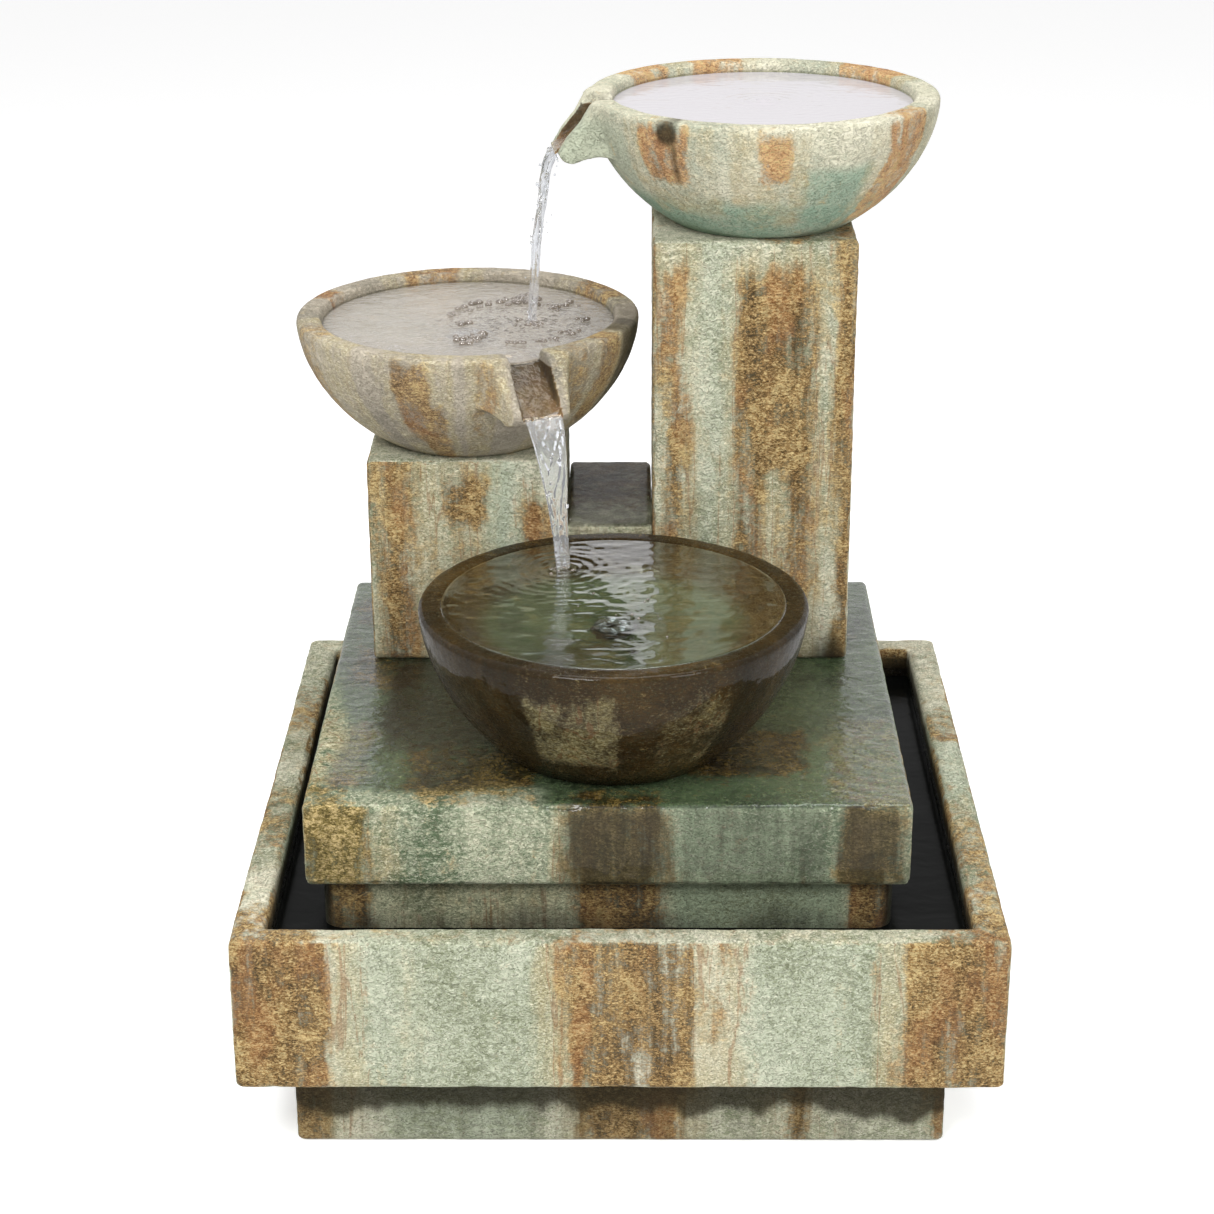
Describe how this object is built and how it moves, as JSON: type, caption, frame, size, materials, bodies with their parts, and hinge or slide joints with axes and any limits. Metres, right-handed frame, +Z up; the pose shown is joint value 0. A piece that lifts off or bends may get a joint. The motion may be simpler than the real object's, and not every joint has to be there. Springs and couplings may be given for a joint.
{
  "type": "cascading bowl fountain",
  "caption": "Square basin on a plinth with a riser and slab, two pedestals carrying spouted bowls that pour one into the next, a brim-full low bowl, a pump and lights.",
  "frame": {"origin": "centre of the plinth's underside", "axes": "+Z up; -Y is the front, which the low bowl faces; +X is the side of the tall pedestal"},
  "size_m": [0.8, 0.8, 1.0233],
  "materials": {
    "verdigris_stone": "matt cast stone with green and rust stains",
    "pale_bowl_stone": "matt cast stone, cream with rust runs",
    "wet_bowl_stone": "wet dark brown cast stone",
    "wet_slab_stone": "cast stone under a film of water",
    "brass_fitting": "dull",
    "steel_clamp": "satin",
    "hose_rubber": "ribbed, satin",
    "black_rubber": "matt",
    "seal_rubber": "matt",
    "pump_plastic": "fine moulded grain",
    "screen_plastic": "fine moulded grain",
    "dial_plastic": "satin",
    "impeller_plastic": "satin",
    "magnet_metal": "satin",
    "shaft_ceramic": "polished",
    "light_plastic": "satin",
    "light_lens_clear": "clear",
    "diode_plastic": "clear",
    "lead_rubber": "satin",
    "water": "clear water"
  },
  "bodies": {
    "fountain": {"plinth": "verdigris_stone", "basin": "verdigris_stone", "riser": "verdigris_stone", "slab": "wet_slab_stone", "tall_pedestal": "verdigris_stone", "short_pedestal": "verdigris_stone", "low_block": "wet_slab_stone", "low_bowl": "wet_bowl_stone", "supply_hose": "hose_rubber", "hose_clamps": "steel_clamp", "pump_body": "pump_plastic", "pump_feet": "black_rubber", "pump_cable_gland": "pump_plastic", "pump_seal_ring": "seal_rubber", "volute_cover": "pump_plastic", "outlet_barb": "pump_plastic", "impeller_shaft": "shaft_ceramic", "shaft_bushes": "black_rubber", "intake_screen": "screen_plastic", "mid_light_lead": "lead_rubber", "low_light_housing": "light_plastic", "low_light_diodes": "diode_plastic", "low_light_lens": "light_lens_clear", "low_light_stopper": "black_rubber", "low_light_lead": "lead_rubber", "light_junction_box": "light_plastic", "junction_lid": "light_plastic", "cord_stopper": "black_rubber"},
    "rotor": {"impeller": "impeller_plastic", "rotor_magnet": "magnet_metal"},
    "dial": {"flow_dial": "dial_plastic"},
    "top_bowl_set": {"top_bowl": "pale_bowl_stone", "outlet_nozzle": "brass_fitting", "outlet_gasket": "black_rubber", "outlet_locknut": "brass_fitting"},
    "mid_bowl_set": {"mid_bowl": "pale_bowl_stone", "mid_light_housing": "light_plastic", "mid_light_diodes": "diode_plastic", "mid_light_lens": "light_lens_clear", "mid_light_stopper": "black_rubber"}
  },
  "joints": [
    {"name": "impeller_spin", "type": "hinge", "parent": "fountain", "child": "rotor", "pos_m": [0.14605, 0.18025, 0.179], "axis": [0, 1, 0], "continuous": true},
    {"name": "flow_dial_turn", "type": "hinge", "parent": "fountain", "child": "dial", "pos_m": [0.14605, 0.24025, 0.179], "axis": [0, 1, 0], "range_deg": [0, 20]},
    {"name": "top_bowl_turn", "type": "hinge", "parent": "fountain", "child": "top_bowl_set", "pos_m": [0.15905, 0.18025, 0.8805], "axis": [0, 0, 1], "range_deg": [-15, 15]},
    {"name": "mid_bowl_turn", "type": "hinge", "parent": "fountain", "child": "mid_bowl_set", "pos_m": [-0.17425, 0.18025, 0.6282], "axis": [0, 0, 1], "range_deg": [-10, 15]}
  ]
}
